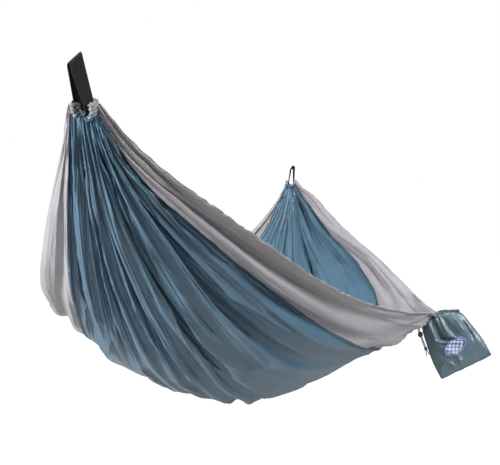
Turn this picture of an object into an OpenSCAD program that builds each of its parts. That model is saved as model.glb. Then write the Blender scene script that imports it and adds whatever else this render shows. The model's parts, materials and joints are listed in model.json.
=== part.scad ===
// Hanging camping hammock: three sewn cloth panels gathered on two webbing loops, with a
// drawstring stuff sack sewn to the middle of the right hem.
// Frame: origin at the centre of the near loop's eye, +X towards the far end, +Z up,
// -Y is the right edge, which carries the sack. All sizes are in millimetres.

/* [Hanging shape] */
// Distance between the two gathered ends
span = 2150; // [2050:10:2250]
// Depth of the lowest line of cloth below the line through the gathered ends
keel_depth = 676; // [620:1:720]
// How full the curve from end to end is: 2 is a parabola, more is fuller in the middle
fullness = 2.45; // [2.2:0.05:2.7]
// Share of the spread angle that is lost towards the gathered ends
gather_taper = 0.2; // [0:0.05:0.25]

/* [Edges] */
// Spread angle of the right edge from straight down
right_angle = 54; // [48:1:60]
// Extra radius at the right edge, about the line through the ends
right_gain = 37; // [5:1:50]
// Spread angle of the left edge from straight down
left_angle = 51; // [48:1:60]
// Lost radius at the left edge, about the line through the ends
left_loss = 76; // [5:1:90]
// Place of the two long seams, as a share of each edge's spread
seam_share = 0.76; // [0.7:0.01:0.78]

/* [Cloth] */
// Thickness that stands for the gathered nylon
cloth_t = 2; // [1.5:0.1:2]
// Half the width of a flat-felled seam
seam_half = 3; // [2:0.5:3]
// Radius of the rolled hem
hem_r = 2.5; // [1.5:0.1:2.5]

/* [Webbing loops] */
// Width of the webbing
web_w = 25; // [20:1:25]
// Thickness of the webbing
web_t = 1.8; // [1.4:0.1:2]
// Inside radius of the loop's eye
eye_r = 6; // [5:0.5:7]
// From the loop's pivot in the gather to the centre of its eye
loop_len = 80; // [60:1:110]
// Lean of the loops from vertical, away from the cloth
loop_lean = 30; // [20:1:45]
// Twist of the near loop about its own length
near_twist = -40; // [-40:5:0]

/* [Stuff sack] */
// Width of the sack at its bottom seam
sack_w = 156; // [130:1:170]
// Width of the drawn mouth
mouth_w = 116; // [110:1:124]
// Height of the sack below its mouth hem
sack_h = 150; // [120:1:170]
// Tilt of the sack from hanging straight down
sack_tilt = 28; // [20:1:35]
// Radius of the drawcord
cord_r = 1.25; // [1:0.05:1.3]

/* [Hidden] */
$fn = 64;

blue = [0.35, 0.46, 0.54];
grey = [0.63, 0.62, 0.64];
dark = [0.1, 0.1, 0.11];
slate = [0.33, 0.42, 0.46];

half = span / 2;
pivot = [loop_len * sin(loop_lean), 0, -loop_len * cos(loop_lean)];
middle = pivot + [half, 0, 0];
cloth_end = 0.975;
cloth_gap = 1;
panel_lift = cloth_t + 0.5;
seam_t = 1.5;
seam_space = 1.6;
seam_lift = panel_lift + (cloth_t + seam_t) / 2 + seam_space;
hem_lift = hem_r + cloth_t / 2 + 0.8;

// ---- the cloth surface, about the line through the gathered ends ----

// u runs from -1 at the near gather to 1 at the far one. t runs from -1 at the right hem
// through 0 at the keel to 1 at the left hem.
function lobe(u) = 1 - pow(abs(u), fullness);
function side_radius(t) = keel_depth + (t < 0 ? right_gain : -left_loss) * abs(t);
function side_angle(u, t) =
  t * (t < 0 ? right_angle : left_angle) * (1 - gather_taper * pow(abs(u), 1.5));

// A point of the cloth. lift moves it away from the axis, and shift along the section.
function cloth_point(u, t, lift, shift) =
  let (r = side_radius(t) * lobe(u) + lift,
       a = side_angle(u, t) + shift / r * 180 / PI)
  [half * u, r * sin(a), -r * cos(a)];

// Stations along the cloth, closer together towards the gathered ends
function station(i, count) = cloth_end * sin(180 * i / count - 90);

// A closed sheet from two grids of points, each with rows x cols points
module sheet(lower, upper, rows, cols) {
  total = rows * cols;
  function at(i, j) = i * cols + j;
  function pair(a, b, c, d) = [[a, b, c], [a, c, d]];
  bottom = [for (i = [0:rows - 2], j = [0:cols - 2])
    each pair(at(i, j), at(i + 1, j), at(i + 1, j + 1), at(i, j + 1))];
  top = [for (i = [0:rows - 2], j = [0:cols - 2])
    each pair(total + at(i, j), total + at(i, j + 1), total + at(i + 1, j + 1),
      total + at(i + 1, j))];
  rim = concat(
    [for (j = [0:cols - 1]) at(0, j)],
    [for (i = [1:rows - 1]) at(i, cols - 1)],
    [for (j = [cols - 2:-1:0]) at(rows - 1, j)],
    [for (i = [rows - 2:-1:1]) at(i, 0)]);
  count = len(rim);
  side = [for (k = [0:count - 1])
    each pair(rim[k], rim[(k + 1) % count], total + rim[(k + 1) % count], total + rim[k])];
  polyhedron(concat(lower, upper), concat(bottom, top, side));
}

// A strip of cloth from share t0 to t1, with its edges moved in by shift0 and shift1
module cloth_strip(t0, t1, shift0, shift1, lift, thick, across, along) {
  function grid(level) = [for (i = [0:along], j = [0:across])
    cloth_point(station(i, along), t0 + (t1 - t0) * j / across, level,
      shift0 + (shift1 - shift0) * j / across)];
  translate(middle)
    sheet(grid(lift + thick / 2), grid(lift - thick / 2), along + 1, across + 1);
}

// A round hem along share t
module hem_roll(t, lift, along, around) {
  function ring(i) = [for (k = [0:around - 1])
    cloth_point(station(i, along), t, lift + hem_r * cos(360 * k / around),
      hem_r * sin(360 * k / around))];
  points = [for (i = [0:along]) each ring(i)];
  walls = [for (i = [0:along - 1], k = [0:around - 1])
    let (a = i * around + k, b = i * around + (k + 1) % around)
    each [[a, b, b + around], [a, b + around, a + around]]];
  caps = [[for (k = [around - 1:-1:0]) k],
    [for (k = [0:around - 1]) along * around + k]];
  translate(middle) polyhedron(points, concat(walls, caps));
}

// ---- cloth pieces ----

module centre_panel() {
  color(blue)
    cloth_strip(-seam_share, seam_share, cloth_gap, -cloth_gap, 0, cloth_t, 14, 44);
}

module right_panel() {
  color(grey)
    cloth_strip(-1, -seam_share, hem_r + 0.5, -cloth_gap, panel_lift, cloth_t, 4, 44);
}

module left_panel() {
  color(grey)
    cloth_strip(seam_share, 1, cloth_gap, -hem_r - 0.5, -panel_lift, cloth_t, 4, 44);
}

module right_seam() {
  color(blue)
    cloth_strip(-seam_share, -seam_share, -seam_half, seam_half, seam_lift, seam_t, 1, 44);
}

module left_seam() {
  color(blue)
    cloth_strip(seam_share, seam_share, -seam_half, seam_half, -seam_lift, seam_t, 1, 44);
}

module right_hem() {
  color(grey) hem_roll(-1, hem_lift, 44, 8);
}

module left_hem() {
  color(grey) hem_roll(1, -hem_lift, 44, 8);
}

// ---- gathered ends ----

channel_r = 23;
channel_half = 25;
hollow_r = 19.5;
hollow_half = 19;
hollow_rim = -6;
throat_u = 0.981;

// Puts a shape whose pivot is at the origin at the near gather, or mirrored at the far one
module at_near_end() {
  translate(pivot) children();
}

module at_far_end() {
  translate(middle) mirror([1, 0, 0]) translate([-half, 0, 0]) children();
}

// A cylinder along Y
module bar_y(r, length) {
  rotate([90, 0, 0]) cylinder(r = r, h = length, center = true);
}

// The folded and bunched ends of the three panels, with the hollow that the webbing turns in
module channel() {
  difference() {
    hull() {
      rotate([90, 0, 0]) cylinder(r = channel_r, h = 2 * channel_half, center = true, $fn = 32);
      for (t = [-1:0.5:1])
        translate(cloth_point(-throat_u, t, 0, 0) + [half, 0, 0]) sphere(r = 2.2, $fn = 12);
    }
    bar_y(hollow_r, 2 * hollow_half);
    rotate([0, -loop_lean, 0])
      translate([-2 * channel_r, -hollow_half, hollow_rim])
        cube([4 * channel_r, 2 * hollow_half, 3 * channel_r]);
  }
}

// The double row of thread that closes the channel under the webbing
module channel_thread() {
  for (drop = [channel_r + 1, channel_r + 7])
    rotate([0, -loop_lean, 0])
      translate([-channel_r - 1, 0, -drop + channel_r])
        bar_y(0.8, 2 * channel_half - 6);
}

module near_channel() {
  color(grey) at_near_end() channel();
}

module far_channel() {
  color(grey) at_far_end() channel();
}

module near_channel_stitching() {
  color(dark) at_near_end() channel_thread();
}

module far_channel_stitching() {
  color(dark) at_far_end() channel_thread();
}

// ---- webbing loops ----

bend_r = 10.5;

// Half of a ring of webbing about the X axis, on the +Z side
module half_ring(r_in) {
  rotate([0, 90, 0])
    difference() {
      cylinder(r = r_in + web_t, h = web_w, center = true);
      cylinder(r = r_in, h = web_w + 2, center = true);
      translate([0, -2 * r_in, -web_w])
        cube([2 * r_in + 2 * web_t, 4 * r_in, 2 * web_w]);
    }
}

// One leg, from the bend in the channel up to the eye
module leg() {
  rotate([90, 0, 90])
    linear_extrude(web_w, center = true)
      polygon([[bend_r, 0], [bend_r + web_t, 0], [eye_r + web_t, loop_len], [eye_r, loop_len]]);
}

// The closed loop, with its pivot at the origin and its length along +Z
module web_loop() {
  translate([0, 0, loop_len]) half_ring(eye_r);
  mirror([0, 0, 1]) half_ring(bend_r);
  leg();
  mirror([0, 1, 0]) leg();
}

tack_w = 18;
tack_l = 12;
tack_t = 0.6;
tack_height = 24;

// The sewn overlap that closes the loop, on the outer face of one leg
module bartack() {
  slope = atan((bend_r - eye_r) / loop_len);
  translate([0, bend_r + web_t, 0])
    rotate([slope, 0, 0])
      translate([-tack_w / 2, 0.05, tack_height]) cube([tack_w, tack_t, tack_l]);
}

// Leans a loop away from the cloth and twists it about its length
module leaned(twist) {
  rotate([0, -loop_lean, 0]) rotate([0, 0, twist]) children();
}

module near_loop() {
  color(dark) at_near_end() leaned(near_twist) web_loop();
}

module far_loop() {
  color(dark) at_far_end() leaned(0) web_loop();
}

module near_loop_bartack() {
  color("black") at_near_end() leaned(near_twist) bartack();
}

module far_loop_bartack() {
  color("black") at_far_end() leaned(0) bartack();
}

// ---- stuff sack ----

// The hanger's free end, which the sack swings about
hanger_drop = 26;
hanger_w = 14;
hanger_t = 1.6;
hem_middle = middle + cloth_point(0, -1, hem_lift, 0);
swing_axis = hem_middle + [0, 0, -hem_r - hanger_drop];

// Places in the sack's own frame: origin on the swing axis, bottom towards -Z, and the
// swing axis sits a little inboard of the middle of the mouth
mouth_shift = -18;
mouth_top = -3;
mouth_hem_h = 10;
body_top = mouth_top - mouth_hem_h - 0.5;
seam_gap = 1;
sack_bulge = 9;
sheet_t = 1.2;

// Half width of the sack at share v from its mouth to its bottom
function sack_half(v) = (mouth_w + (sack_w - mouth_w) * v) / 2;
function sack_height(v) = body_top - sack_h * v;
function sack_depth(s, v) =
  seam_gap + sack_bulge * pow(cos(90 * s), 0.8) * (0.55 + 0.45 * cos(180 * v)) * (1 - pow(v, 6));

module in_sack_frame() {
  translate(swing_axis) rotate([-sack_tilt, 0, 0]) children();
}

// One face of the sack. way is -1 for the front and 1 for the back.
module sack_sheet(way) {
  across = 16;
  along = 18;
  function grid(extra) = [for (i = [0:along], j = [0:across])
    let (v = i / along, s = 2 * j / across - 1)
    [way * (sack_depth(s, v) + extra), mouth_shift + s * sack_half(v), sack_height(v)]];
  inner = grid(0);
  outer = grid(sheet_t);
  if (way > 0)
    sheet(inner, outer, along + 1, across + 1);
  else
    sheet(outer, inner, along + 1, across + 1);
}

module sack_front() {
  color(slate) in_sack_frame() sack_sheet(-1);
}

module sack_back() {
  color(slate) in_sack_frame() sack_sheet(1);
}

edge_w = 4;

// The outline of the sack's faces, moved in by inset along the sides and the bottom
module sack_outline(inset) {
  polygon([for (p = [[-1, 0], [1, 0], [1, 1], [-1, 1]])
    [mouth_shift + p[0] * (sack_half(p[1]) - inset), sack_height(p[1]) + p[1] * inset]]);
}

// The sewn edges down both sides and along the bottom, between the two faces
module sack_side_seam() {
  color(dark)
    in_sack_frame()
      rotate([90, 0, 90])
        difference() {
          linear_extrude(2 * seam_gap - 0.2, center = true) sack_outline(0);
          linear_extrude(2 * seam_gap, center = true) sack_outline(edge_w);
          translate([mouth_shift, body_top, 0])
            cube([mouth_w - 2 * edge_w, edge_w, 3 * seam_gap], center = true);
        }
}

// The tunnel round the mouth is a flat ring: two straight sides and two half turns
ring_r = 7;
ring_half = mouth_w / 2 - ring_r - 4;
ring_z = mouth_top - mouth_hem_h / 2;
tunnel_r = 2.2;
exit_y = mouth_shift + ring_half + ring_r;

// A profile carried round the mouth; the profile's X is measured from the ring's centre line
module round_mouth(r_big) {
  translate([0, mouth_shift, ring_z]) {
    for (turn = [0, 180])
      rotate([0, 0, turn]) {
        translate([0, ring_half, 0]) rotate_extrude(angle = 180) translate([r_big, 0]) children();
        translate([r_big, 0, 0]) rotate([90, 0, 0])
          linear_extrude(2 * ring_half, center = true) children();
      }
  }
}

module sack_mouth_hem() {
  color(slate)
    in_sack_frame()
      difference() {
        round_mouth(ring_r) square([6, mouth_hem_h], center = true);
        round_mouth(ring_r) circle(r = tunnel_r, $fn = 32);
        translate([-3.2, exit_y - 5, ring_z - mouth_hem_h])
          cube([6.4, 12, 2 * mouth_hem_h]);
      }
}

tail_gap = 3.2;
tail_len = 62;
tail_offset = 9.5;
knot_r = 4.2;
tail_y = mouth_shift + mouth_w / 2 + tail_offset;
tail_lean = atan((sack_w - mouth_w) / 2 / sack_h);

// The two tails run beside the sack's inboard edge, from the origin here towards -Z
module in_tail_frame() {
  in_sack_frame() translate([0, tail_y, ring_z]) rotate([tail_lean, 0, 0]) children();
}

// One closed cord: round the mouth, then two tails side by side down to the end knot
module sack_drawcord() {
  lead_end = tail_y + tail_gap / 2;
  color(dark) {
    in_sack_frame() {
      round_mouth(ring_r) circle(r = cord_r, $fn = 32);
      translate([0, (exit_y + lead_end) / 2, ring_z]) bar_y(cord_r, lead_end - exit_y);
    }
    in_tail_frame() {
      for (side = [-1, 1])
        translate([0, side * tail_gap / 2, -tail_len]) cylinder(r = cord_r, h = tail_len);
      translate([0, tail_gap / 2, 0]) sphere(r = cord_r);
      translate([0, 0, -tail_len]) sphere(r = knot_r);
    }
  }
}

badge_w = 74;
badge_h = 43;
badge_t = 1;
badge_v = 0.56;
badge_turn = 14;

// A plain oval patch that follows the bulge of the front
module sack_badge() {
  rings = 5;
  around = 32;
  function place(i, k) =
    let (x = badge_w / 2 * i / rings * cos(360 * k / around),
         y = badge_h / 2 * i / rings * sin(360 * k / around))
    [x * cos(badge_turn) - y * sin(badge_turn), x * sin(badge_turn) + y * cos(badge_turn)];
  function on_front(p, lift) =
    let (v = badge_v - p[1] / sack_h, s = p[0] / sack_half(v))
    [-sack_depth(s, v) - sheet_t - lift, mouth_shift + p[0], sack_height(v)];
  function layer(lift) = concat([on_front([0, 0], lift)],
    [for (i = [1:rings], k = [0:around - 1]) on_front(place(i, k), lift)]);
  size = 1 + rings * around;
  function ring_at(i, k) = 1 + (i - 1) * around + k % around;
  fan = [for (k = [0:around - 1]) [0, ring_at(1, k), ring_at(1, k + 1)]];
  bands = [for (i = [1:rings - 1], k = [0:around - 1])
    each [[ring_at(i, k), ring_at(i + 1, k), ring_at(i + 1, k + 1)],
      [ring_at(i, k), ring_at(i + 1, k + 1), ring_at(i, k + 1)]]];
  face = concat(fan, bands);
  back = [for (f = face) [f[2] + size, f[1] + size, f[0] + size]];
  edge = [for (k = [0:around - 1])
    let (a = ring_at(rings, k), b = ring_at(rings, k + 1))
    each [[a, b + size, b], [a, a + size, b + size]]];
  color([0.55, 0.58, 0.78])
    in_sack_frame()
      polyhedron(concat(layer(0.3), layer(0.3 + badge_t)), concat(face, back, edge));
}

// The tape that joins the sack to the hem
module sack_hanger() {
  color(slate)
    translate(hem_middle + [0, 0, -hem_r - 0.3])
      rotate([90, 0, 90])
        linear_extrude(hanger_w, center = true)
          polygon([[-2 * hanger_t, 0], [-hanger_t / 2, 0], [hanger_t / 2, 1.2 - hanger_drop],
            [-hanger_t / 2, 1.2 - hanger_drop]]);
}

// ---- cord lock, with its plunger along X and the two tails through it ----

lock_r = 7;
lock_front = -9;
lock_back = 12;
lock_wall = 2;
plunger_r = 4.6;
plunger_clear = 0.1;
plunger_front = -14;
plunger_back = 3.4;
press_travel = 4;
slot_clear = 0.15;
lock_drop = 20;

module in_lock_frame() {
  in_tail_frame() translate([0, 0, -lock_drop]) children();
}

// A cylinder along X from x0 to x1
module bar_x(r, x0, x1) {
  translate([x0, 0, 0]) rotate([0, 90, 0]) cylinder(r = r, h = x1 - x0);
}

// The passage for both tails, reaching from x0 to x1
module tail_passage(x0, x1) {
  w = cord_r + slot_clear;
  translate([x0 - w, -tail_gap / 2 - w, -10])
    cube([x1 - x0 + 2 * w, tail_gap + 2 * w, 20]);
}

module cord_lock_body() {
  color(dark)
    in_lock_frame()
      difference() {
        bar_x(lock_r, lock_front, lock_back);
        bar_x(plunger_r + plunger_clear, lock_front - 1, lock_back - lock_wall);
        tail_passage(0, 0);
      }
}

module cord_lock_plunger() {
  color([0.16, 0.16, 0.17])
    in_lock_frame()
      difference() {
        bar_x(plunger_r, plunger_front, plunger_back);
        tail_passage(-press_travel, 0);
      }
}

spring_r = 3.4;
wire_r = 0.35;
spring_turns = 3.5;

// A coil between the plunger and the lock's back wall
module cord_lock_spring() {
  steps = 56;
  around = 6;
  first = plunger_back + wire_r + 0.15;
  last = lock_back - lock_wall - wire_r - 0.15;
  function centre(i) = [first + (last - first) * i / steps, 0, 0];
  function rim(i, k) =
    let (a = 360 * spring_turns * i / steps, r = spring_r + wire_r * cos(360 * k / around))
    centre(i) + [wire_r * sin(360 * k / around), r * cos(a), r * sin(a)];
  points = [for (i = [0:steps], k = [0:around - 1]) rim(i, k)];
  walls = [for (i = [0:steps - 1], k = [0:around - 1])
    let (a = i * around + k, b = i * around + (k + 1) % around)
    each [[a, b + around, b], [a, a + around, b + around]]];
  caps = [[for (k = [0:around - 1]) k],
    [for (k = [around - 1:-1:0]) steps * around + k]];
  color("silver") in_lock_frame() polyhedron(points, concat(walls, caps));
}

centre_panel();
right_panel();
left_panel();
right_seam();
left_seam();
right_hem();
left_hem();
near_channel();
far_channel();
near_channel_stitching();
far_channel_stitching();
near_loop();
far_loop();
near_loop_bartack();
far_loop_bartack();
sack_hanger();
sack_front();
sack_back();
sack_side_seam();
sack_mouth_hem();
sack_drawcord();
sack_badge();
cord_lock_body();
cord_lock_plunger();
cord_lock_spring();
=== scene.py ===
"""Camping hammock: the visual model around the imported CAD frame.

Metres, in the row frame: the origin is the near loop's eye, +X runs to the far end, +Z is up
and -Y is the right edge, which carries the stuff sack.
"""

import json
import math

import bpy
import numpy as np
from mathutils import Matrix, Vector


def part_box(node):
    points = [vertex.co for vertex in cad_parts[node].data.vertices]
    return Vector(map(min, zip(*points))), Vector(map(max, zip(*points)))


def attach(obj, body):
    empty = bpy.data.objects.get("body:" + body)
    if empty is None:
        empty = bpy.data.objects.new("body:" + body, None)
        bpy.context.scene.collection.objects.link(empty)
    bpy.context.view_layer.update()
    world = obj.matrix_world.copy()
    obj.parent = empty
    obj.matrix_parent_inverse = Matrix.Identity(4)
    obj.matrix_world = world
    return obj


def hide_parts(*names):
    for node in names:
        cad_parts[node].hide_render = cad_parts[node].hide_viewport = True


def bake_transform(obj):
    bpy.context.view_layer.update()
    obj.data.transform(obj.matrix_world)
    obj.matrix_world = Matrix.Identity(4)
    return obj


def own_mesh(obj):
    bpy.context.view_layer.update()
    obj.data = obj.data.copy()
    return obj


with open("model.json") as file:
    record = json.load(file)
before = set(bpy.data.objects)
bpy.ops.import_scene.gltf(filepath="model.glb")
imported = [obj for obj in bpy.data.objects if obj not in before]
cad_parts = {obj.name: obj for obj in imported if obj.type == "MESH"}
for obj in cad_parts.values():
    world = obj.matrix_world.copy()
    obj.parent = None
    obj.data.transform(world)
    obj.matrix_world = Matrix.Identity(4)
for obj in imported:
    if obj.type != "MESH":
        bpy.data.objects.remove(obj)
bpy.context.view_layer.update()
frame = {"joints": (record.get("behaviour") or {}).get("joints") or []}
JOINT = {j["name"]: j for j in frame["joints"]}

# ---- places taken from the frame ----

NEAR_PIVOT = np.array(JOINT["near_loop_swing"]["pos_m"])
FAR_PIVOT = np.array(JOINT["far_loop_swing"]["pos_m"])
MIDDLE = np.array(JOINT["right_edge_draw_in"]["pos_m"])
SACK_AXIS = np.array(JOINT["sack_swing"]["pos_m"])
HALF = (FAR_PIVOT[0] - NEAR_PIVOT[0]) / 2

# ---- the cloth's shape, as designed in the CAD ----

CLOTH_HALF_T = 0.001
KEEL = MIDDLE[2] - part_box("centre_panel")[0].z - CLOTH_HALF_T
FULLNESS = 2.45
TAPER = 0.2
RIGHT_ANGLE = math.radians(54)
LEFT_ANGLE = math.radians(51)
RIGHT_GAIN = 0.037
LEFT_LOSS = 0.076
SEAM_SHARE = 0.76
HEM_LIFT = 0.0043

# ---- the flat cloth, and how it is simulated ----

ROWS, COLS = 121, 151
WARP_LENGTH = 2.585
WEFT_WIDTH = 1.30
PLEATS = 17
STEPS = 700

# ---- the gathered ends and the sack's place ----

LOOP_LEAN = math.radians(30)
GATHER_R, GATHER_LEG = 0.0175, 0.010

SACK_TILT = math.radians(28)
SACK_PULL = np.array([0.010, -0.020, -0.021])
X_AXIS = np.array([1.0, 0, 0])
SCENE = bpy.context.scene


def smoothstep(x, lo=0.0, hi=1.0):
    t = np.clip((np.asarray(x, float) - lo) / (hi - lo), 0, 1)
    return t * t * (3 - 2 * t)


def between(x, a, b, c, d):
    """A soft plateau: up from a to b, and down from c to d."""
    return smoothstep(x, a, b) * (1 - smoothstep(x, c, d))


def hill(x, centre, width):
    return np.exp(-(((x - centre) / width) ** 2))


def unit(v):
    return v / (np.linalg.norm(v, axis=-1, keepdims=True) + 1e-12)


def spin(x, y, angle):
    """Turns a pair of coordinates by an angle."""
    return x * np.cos(angle) - y * np.sin(angle), x * np.sin(angle) + y * np.cos(angle)


def round_angles(count):
    return np.linspace(0, 2 * np.pi, count, endpoint=False)


def xyz(*parts):
    """Points from their coordinates."""
    return np.stack(np.broadcast_arrays(*parts), -1)


def grid(rows, cols):
    return np.meshgrid(rows, cols, indexing="ij")


def grid_uv(rows, cols):
    return xyz(*grid(rows, cols)).reshape(-1, 2)


def gaps(points, axis=0):
    """The distances between neighbours along an axis."""
    return np.linalg.norm(np.diff(points, axis=axis), axis=-1)


def run_of(path):
    """The length along a path at each of its points."""
    return np.concatenate([[0], np.cumsum(gaps(path))])


def value_noise(x, y, seed):
    """Smooth noise from -1 to 1 at the places x, y, with one lattice cell per unit."""
    rng = np.random.RandomState(seed)
    table = rng.uniform(-1, 1, (256, 256))
    xi, yi = np.floor(x).astype(int), np.floor(y).astype(int)
    fx, fy = smoothstep(x - xi), smoothstep(y - yi)
    a, b = table[xi % 256, yi % 256], table[(xi + 1) % 256, yi % 256]
    c, d = table[xi % 256, (yi + 1) % 256], table[(xi + 1) % 256, (yi + 1) % 256]
    return (a * (1 - fx) + b * fx) * (1 - fy) + (c * (1 - fx) + d * fx) * fy


# ---- cloth: start shape, relaxation, refinement ----


def grid_normals(p):
    """Unit normals of a grid of points."""
    return unit(np.cross(np.gradient(p, axis=0), np.gradient(p, axis=1)))


def u_point(share, radius, leg):
    """A point of a U in a gather's local YZ plane; share 0 is the left leg's top."""
    length = math.pi * radius + 2 * leg
    d = np.clip(share, 0, 1) * length
    a = np.clip((d - leg) / radius, 0, math.pi)
    y = radius * np.cos(a)
    z = -radius * np.sin(a) + np.maximum(leg - d, 0) + np.maximum(d - leg - math.pi * radius, 0)
    return y, z


def start_shape(rows, cols):
    """The designed surface with pleats, drawn in to a U at each gather, and its flat lengths."""
    u = np.linspace(-1, 1, rows)
    t = np.linspace(-1, 1, cols)
    reach = np.sin(u * np.pi / 2) * 0.3 + u * 0.7
    U, T = grid(reach, t)
    radius = (KEEL + np.where(T < 0, RIGHT_GAIN, -LEFT_LOSS) * np.abs(T)) * (1 - np.abs(U) ** FULLNESS)
    angle = T * np.where(T < 0, RIGHT_ANGLE, LEFT_ANGLE) * (1 - TAPER * np.abs(U) ** 1.5)
    sheet = xyz(HALF * U, radius * np.sin(angle), -radius * np.cos(angle))
    y, z = u_point((1 - T) / 2, GATHER_R, GATHER_LEG)
    lean = np.sign(U) * math.sin(LOOP_LEAN) * z
    end = xyz(np.sign(U) * HALF + lean, y, z * math.cos(LOOP_LEAN))
    share = smoothstep(np.abs(U), 0.90, 1.0)[..., None]
    sheet = sheet * (1 - share) + end * share
    arc = gaps(sheet, 1).sum(1)
    rng = np.random.RandomState(4)
    widths = np.clip(1 + 0.35 * rng.randn(PLEATS), 0.5, 1.6)
    edges = np.concatenate([[0], np.cumsum(widths / widths.sum())])
    phase = np.interp((t + 1) / 2, edges, np.arange(PLEATS + 1)) * np.pi
    slack = 1.012 + 2.6 * np.maximum(np.abs(u) - 0.12, 0) ** 3
    width = np.minimum(WEFT_WIDTH * (1 - 0.5 * np.abs(u) ** 6), arc * slack)
    pleat, flat = arc / PLEATS, width / PLEATS
    depth = np.minimum(0.3 * np.sqrt(np.maximum(flat**2 - pleat**2, 0)), 0.8 * pleat)
    ridge = 1.7 * np.abs(np.sin(phase)) ** 0.75 - 1.0
    which = np.clip(np.floor(phase / np.pi).astype(int), 0, PLEATS - 1)
    fade = rng.uniform(0.15, 0.55, PLEATS)[which]
    ridge = ridge[None, :] * (0.25 + 0.75 * smoothstep(np.abs(u)[:, None] - fade[None, :], -0.15, 0.2))
    n = grid_normals(sheet)
    n *= np.sign((n * (sheet - np.array([0, 0, 0.2]))).sum(-1, keepdims=True))
    return sheet + n * (depth[:, None] * ridge)[..., None], WARP_LENGTH * u / 2, width


def relax(points, warp, weft, steps, pins, gravity=1.0, damping=0.97, top_speed=0.15):
    """Position-based cloth: lengths along both threads, the diagonals, and soft bending."""
    rows, cols, _ = points.shape
    free = np.ones((rows, cols, 1))
    free[0] = free[-1] = 0
    x = points.copy()
    for place, where in pins:
        free[place] = 0
        x[place] += where
    velocity = np.zeros_like(x)
    u, t = np.linspace(-1, 1, rows), np.linspace(-1, 1, cols)
    segments = gaps(points, 1)
    level = np.diff(weft[:, None] * t[None, :] / 2, axis=1)
    keep = smoothstep(np.abs(u), 0.35, 0.75)[:, None]
    segments = segments * keep + level * (1 - keep)
    across = np.concatenate([np.zeros((rows, 1)), np.cumsum(segments, axis=1)], axis=1)
    along = np.repeat(warp[:, None], cols, 1)
    calm = np.clip(1 - np.abs(u) ** 4, 0.02, 1)[:, None, None]
    batches = []

    def add(di, dj, stretch, squeeze):
        if di == 0:
            rest = np.abs(across[:, dj:] - across[:, : cols - dj])
        elif dj == 0:
            rest = np.abs(along[di:] - along[: rows - di])
        else:
            rest = np.hypot((segments[1:] + segments[:-1]) / 2, np.diff(along, axis=0)[:, 1:])
        rest = rest[..., None]
        ease = np.ones_like(rest)
        if abs(di) + abs(dj) > 1:
            ease *= calm[: rest.shape[0]] ** 2
        push, pull = stretch * ease, squeeze * ease
        step, span = (di, rows - di) if di else (dj, cols - dj)
        for half in range(2):
            pick = np.arange(span)
            pick = pick[(pick // step) % 2 == half]
            if di:
                a = (pick, slice(max(-dj, 0), cols - max(dj, 0)))
                b, cut = (pick + step, slice(max(dj, 0), cols + min(dj, 0))), pick
            else:
                a, b, cut = (slice(None), pick), (slice(None), pick + step), (slice(None), pick)
            total = free[a] + free[b] + 1e-9
            batches.append((a, b, rest[cut], push[cut], pull[cut], free[a] / total, free[b] / total))

    for link in ((1, 0, 1.0, 1.0), (0, 1, 1.0, 1.0), (1, 1, 0.3, 0.5), (1, -1, 0.3, 0.5),
                 (0, 2, 0.0, 0.35), (2, 0, 0.0, 0.4)):
        add(*link)
    tethers = (x[0:1].copy(), (warp - warp[0])[:, None]), (x[-1:].copy(), (warp[-1] - warp)[:, None])
    dt, fall = 1 / 300, np.array([0, 0, -gravity])
    for _ in range(steps):
        velocity = (velocity + fall * dt) * damping
        p = x + velocity * dt * free
        for a, b, rest, push, pull, wa, wb in batches:
            d = p[b] - p[a]
            length = np.sqrt((d * d).sum(-1, keepdims=True)) + 1e-9
            over = length - rest
            d *= np.where(over > 0, push, pull) * over / length
            p[a] += wa * d
            p[b] -= wb * d
        for anchor, limit in tethers:
            d = p - anchor
            length = np.sqrt((d * d).sum(-1))
            p -= d * (np.maximum(length - limit, 0) / (length + 1e-9))[..., None] * free
        velocity = (p - x) / dt
        speed = np.sqrt((velocity * velocity).sum(-1, keepdims=True))
        velocity *= np.minimum(1, top_speed / (speed + 1e-9))
        x = p
    return x


def refine(a, axes=(0, 1)):
    """Doubles a grid's points along the axes, with a cubic through each four neighbours."""
    for axis in axes:
        a = np.moveaxis(a, axis, 0)
        before = np.concatenate([2 * a[:1] - a[1:2], a[:-2]])
        after = np.concatenate([a[2:], 2 * a[-1:] - a[-2:-1]])
        halfway = (9 * (a[:-1] + a[1:]) - before - after) / 16
        out = np.zeros((2 * len(a) - 1,) + a.shape[1:])
        out[::2], out[1::2] = a, halfway
        a = np.moveaxis(out, 0, axis)
    return a


def hem_middle(radius, angle):
    return np.array([0, radius * math.sin(angle), -radius * math.cos(angle)])


HEM_MIDDLES = {0: hem_middle(KEEL + RIGHT_GAIN + HEM_LIFT, -RIGHT_ANGLE),
               -1: hem_middle(KEEL - LEFT_LOSS, LEFT_ANGLE)}


def hanging_cloth():
    """Points (rows, cols, 3) of the relaxed cloth in the row frame."""
    points, warp, weft = start_shape(ROWS, COLS)
    centre = ROWS // 2
    pins = []
    for col, target in HEM_MIDDLES.items():
        pull = SACK_PULL if col == 0 else 0
        pins.append(((slice(centre - 1, centre + 2), col), target + pull - points[centre, col]))
    x = relax(points, warp, weft, STEPS, pins)
    return refine(settle(refine(x)), axes=(1,)) + MIDDLE


def evened(p, times):
    """Smooths along the first axis, with its ends held."""
    p = p.copy()
    for _ in range(times):
        p[1:-1] = (p[:-2] + 2 * p[1:-1] + p[2:]) / 4
    return p


HEM_COLS, HEM_PASSES, BODY_PASSES = 14, 60, 130


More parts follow.
